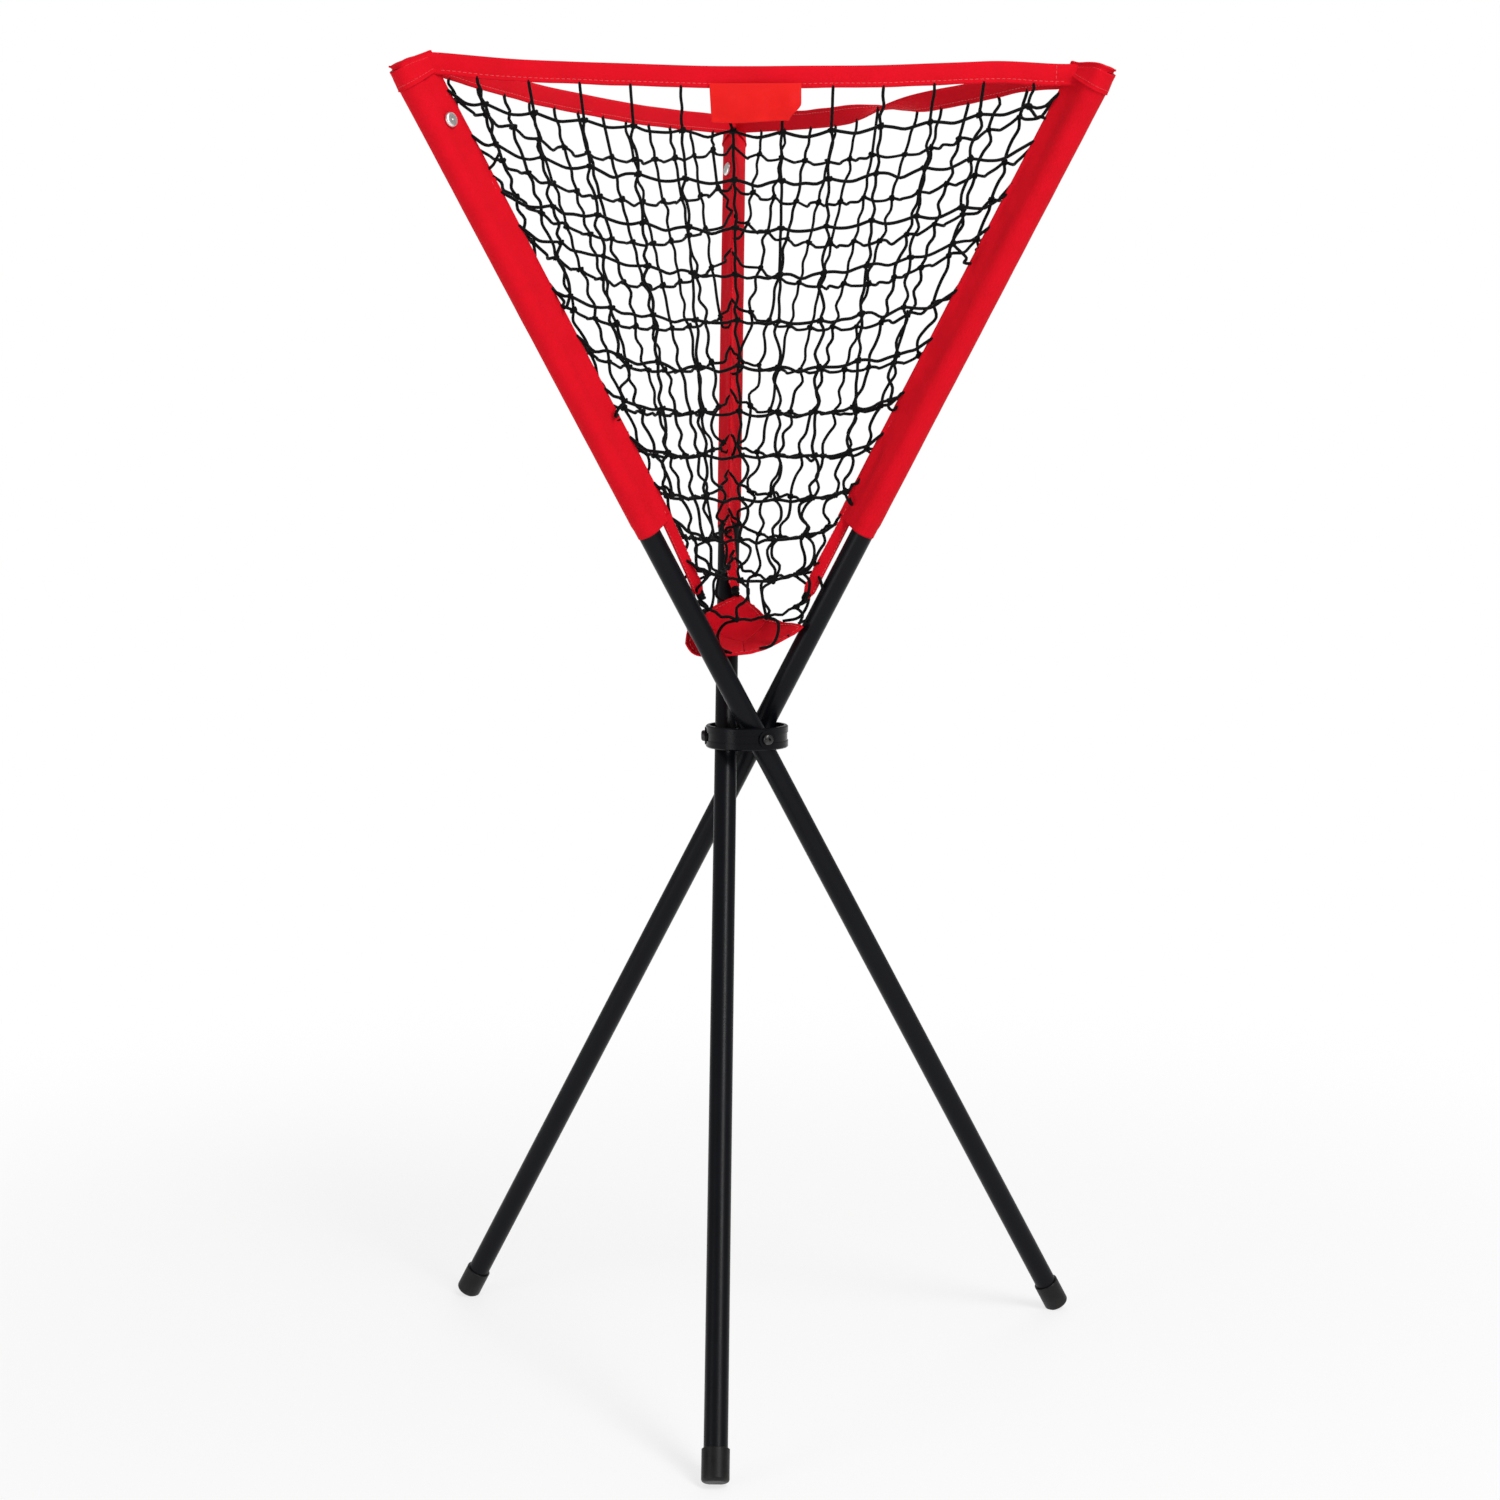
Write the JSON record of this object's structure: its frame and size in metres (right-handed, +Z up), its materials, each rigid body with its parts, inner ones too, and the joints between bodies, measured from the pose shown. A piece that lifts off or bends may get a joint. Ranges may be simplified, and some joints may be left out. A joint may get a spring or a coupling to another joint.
{
  "type": "folding ball caddy",
  "caption": "Folding tripod ball caddy: tubes crossing in a hub ring hold up a three-sided net basket with red cloth corners and rim.",
  "frame": {"origin": "on the floor, under the middle of the box of the open stand, 8 mm to +X of the hub ring axis", "axes": "+Z up, -Y towards the front rim band with the label flap, +X to the right seen from the front"},
  "size_m": [0.4794, 0.5502, 0.9305],
  "materials": {
    "tube_black": "black powder coat, satin",
    "hub_plastic": "moulded black nylon",
    "foot_rubber": "black rubber, matte",
    "plug_plastic": "moulded black plastic",
    "bolt_steel": "black oxide steel",
    "washer_nylon": "natural nylon",
    "red_cloth": "woven polyester, red",
    "label_cloth": "satin ribbon, bright red",
    "net_cord": "knotted black nylon twine",
    "snap_nickel": "nickel plated"
  },
  "bodies": {
    "hub": {"rim_band_front": "red_cloth", "net_panel_front": "net_cord", "rim_band_right": "red_cloth", "net_panel_right": "net_cord", "rim_band_left": "red_cloth", "net_panel_left": "net_cord", "hub_ring": "hub_plastic", "bottom_patch": "red_cloth", "label_flap": "label_cloth"},
    "leg_a": {"leg_tube_a": "tube_black", "foot_cap_a": "foot_rubber", "top_plug_a": "plug_plastic", "pivot_bolt_a": "bolt_steel", "pivot_nut_a": "bolt_steel", "pivot_saddle_a": "hub_plastic", "pivot_washer_a": "washer_nylon", "sleeve_a": "red_cloth", "snap_cap_a": "snap_nickel", "snap_stud_a": "snap_nickel", "corner_tape_a": "red_cloth"},
    "leg_b": {"leg_tube_b": "tube_black", "foot_cap_b": "foot_rubber", "top_plug_b": "plug_plastic", "pivot_bolt_b": "bolt_steel", "pivot_nut_b": "bolt_steel", "pivot_saddle_b": "hub_plastic", "pivot_washer_b": "washer_nylon", "sleeve_b": "red_cloth", "snap_cap_b": "snap_nickel", "snap_stud_b": "snap_nickel", "corner_tape_b": "red_cloth"},
    "leg_c": {"leg_tube_c": "tube_black", "foot_cap_c": "foot_rubber", "top_plug_c": "plug_plastic", "pivot_bolt_c": "bolt_steel", "pivot_nut_c": "bolt_steel", "pivot_saddle_c": "hub_plastic", "pivot_washer_c": "washer_nylon", "sleeve_c": "red_cloth", "snap_cap_c": "snap_nickel", "snap_stud_c": "snap_nickel", "corner_tape_c": "red_cloth"}
  },
  "joints": [
    {"name": "fold_a", "type": "hinge", "parent": "hub", "child": "leg_a", "pos_m": [-0.0228, -0.00014, 0.46143], "axis": [1, 0, 0], "range_deg": [0, 30], "deforming": ["corner_tape_a", "rim_band_front", "rim_band_right", "rim_band_left", "net_panel_front", "net_panel_right", "net_panel_left", "bottom_patch", "label_flap"]},
    {"name": "fold_b", "type": "hinge", "parent": "hub", "child": "leg_b", "pos_m": [0, -0.0133, 0.46143], "axis": [-0.5, 0.866, 0], "range_deg": [0, 30], "deforming": ["corner_tape_b"]},
    {"name": "fold_c", "type": "hinge", "parent": "hub", "child": "leg_c", "pos_m": [0, 0.01303, 0.46143], "axis": [-0.5, -0.866, 0], "range_deg": [0, 30], "deforming": ["corner_tape_c"]}
  ],
  "couplings": [
    {"joint": "fold_b", "follows": "fold_a", "ratio": 1},
    {"joint": "fold_c", "follows": "fold_a", "ratio": 1}
  ]
}
